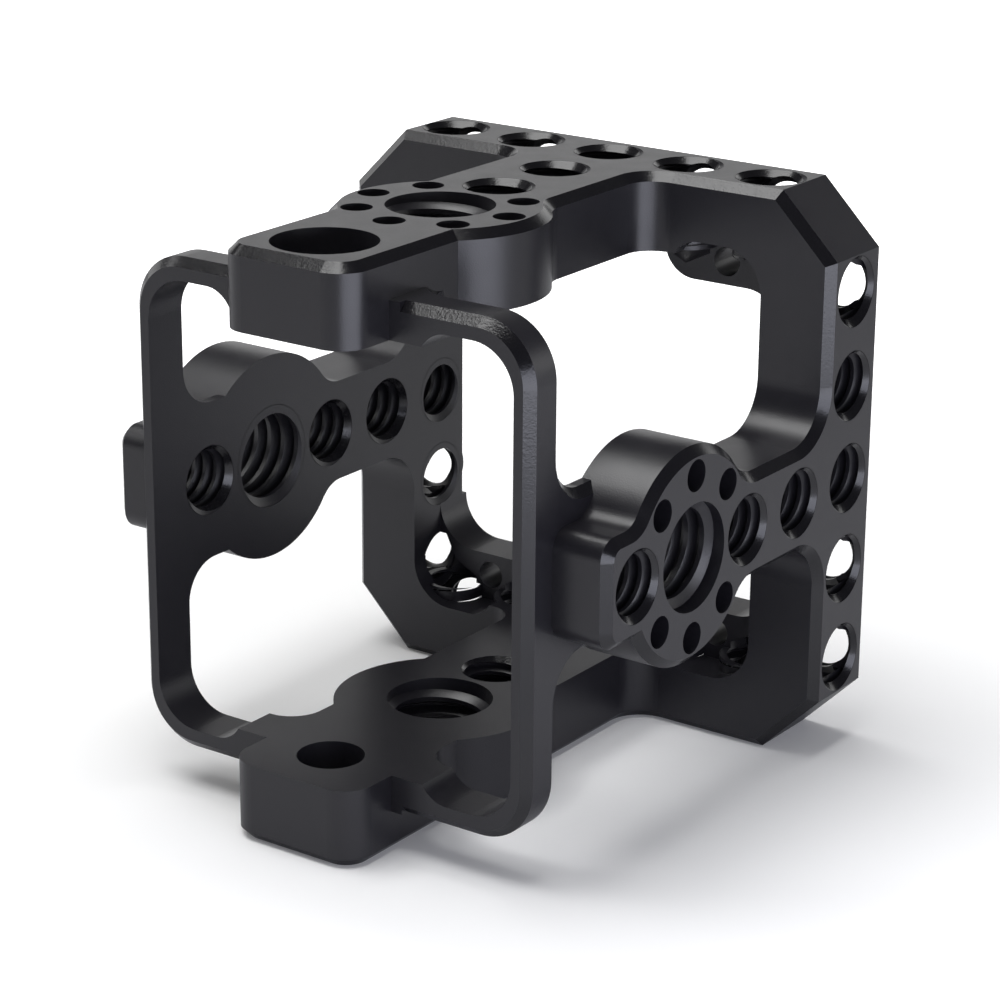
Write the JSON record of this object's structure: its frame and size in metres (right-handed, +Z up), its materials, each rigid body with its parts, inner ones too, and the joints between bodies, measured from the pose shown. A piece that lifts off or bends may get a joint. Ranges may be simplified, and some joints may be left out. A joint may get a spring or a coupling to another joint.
{
  "type": "camera cage",
  "caption": "Small box-camera cage: front ring, four arms with threaded rosette bosses and an eight-sided rear frame with corner tabs.",
  "frame": {"origin": "under the middle of the cage, on the plane of its flat underside", "axes": "+X to the right and +Y to the rear as the front ring faces the viewer, +Z up"},
  "size_m": [0.0524, 0.0518, 0.0525],
  "materials": {
    "anodised_black": "satin black anodised, bead blasted, milled chamfers"
  },
  "bodies": {
    "root": {"top_nose": "anodised_black", "bottom_nose": "anodised_black", "top_arm": "anodised_black", "bottom_arm": "anodised_black", "left_arm": "anodised_black", "right_arm": "anodised_black", "ring_left_post": "anodised_black", "ring_right_post": "anodised_black", "ring_corner_top_left": "anodised_black", "ring_corner_top_right": "anodised_black", "ring_corner_bottom_left": "anodised_black", "ring_corner_bottom_right": "anodised_black", "frame_top_bar": "anodised_black", "frame_bottom_bar": "anodised_black", "frame_left_bar": "anodised_black", "frame_right_bar": "anodised_black", "frame_corner_top_left": "anodised_black", "frame_corner_top_right": "anodised_black", "frame_corner_bottom_left": "anodised_black", "frame_corner_bottom_right": "anodised_black", "tab_top_left": "anodised_black", "tab_top_right": "anodised_black", "tab_bottom_left": "anodised_black", "tab_bottom_right": "anodised_black"}
  },
  "joints": []
}
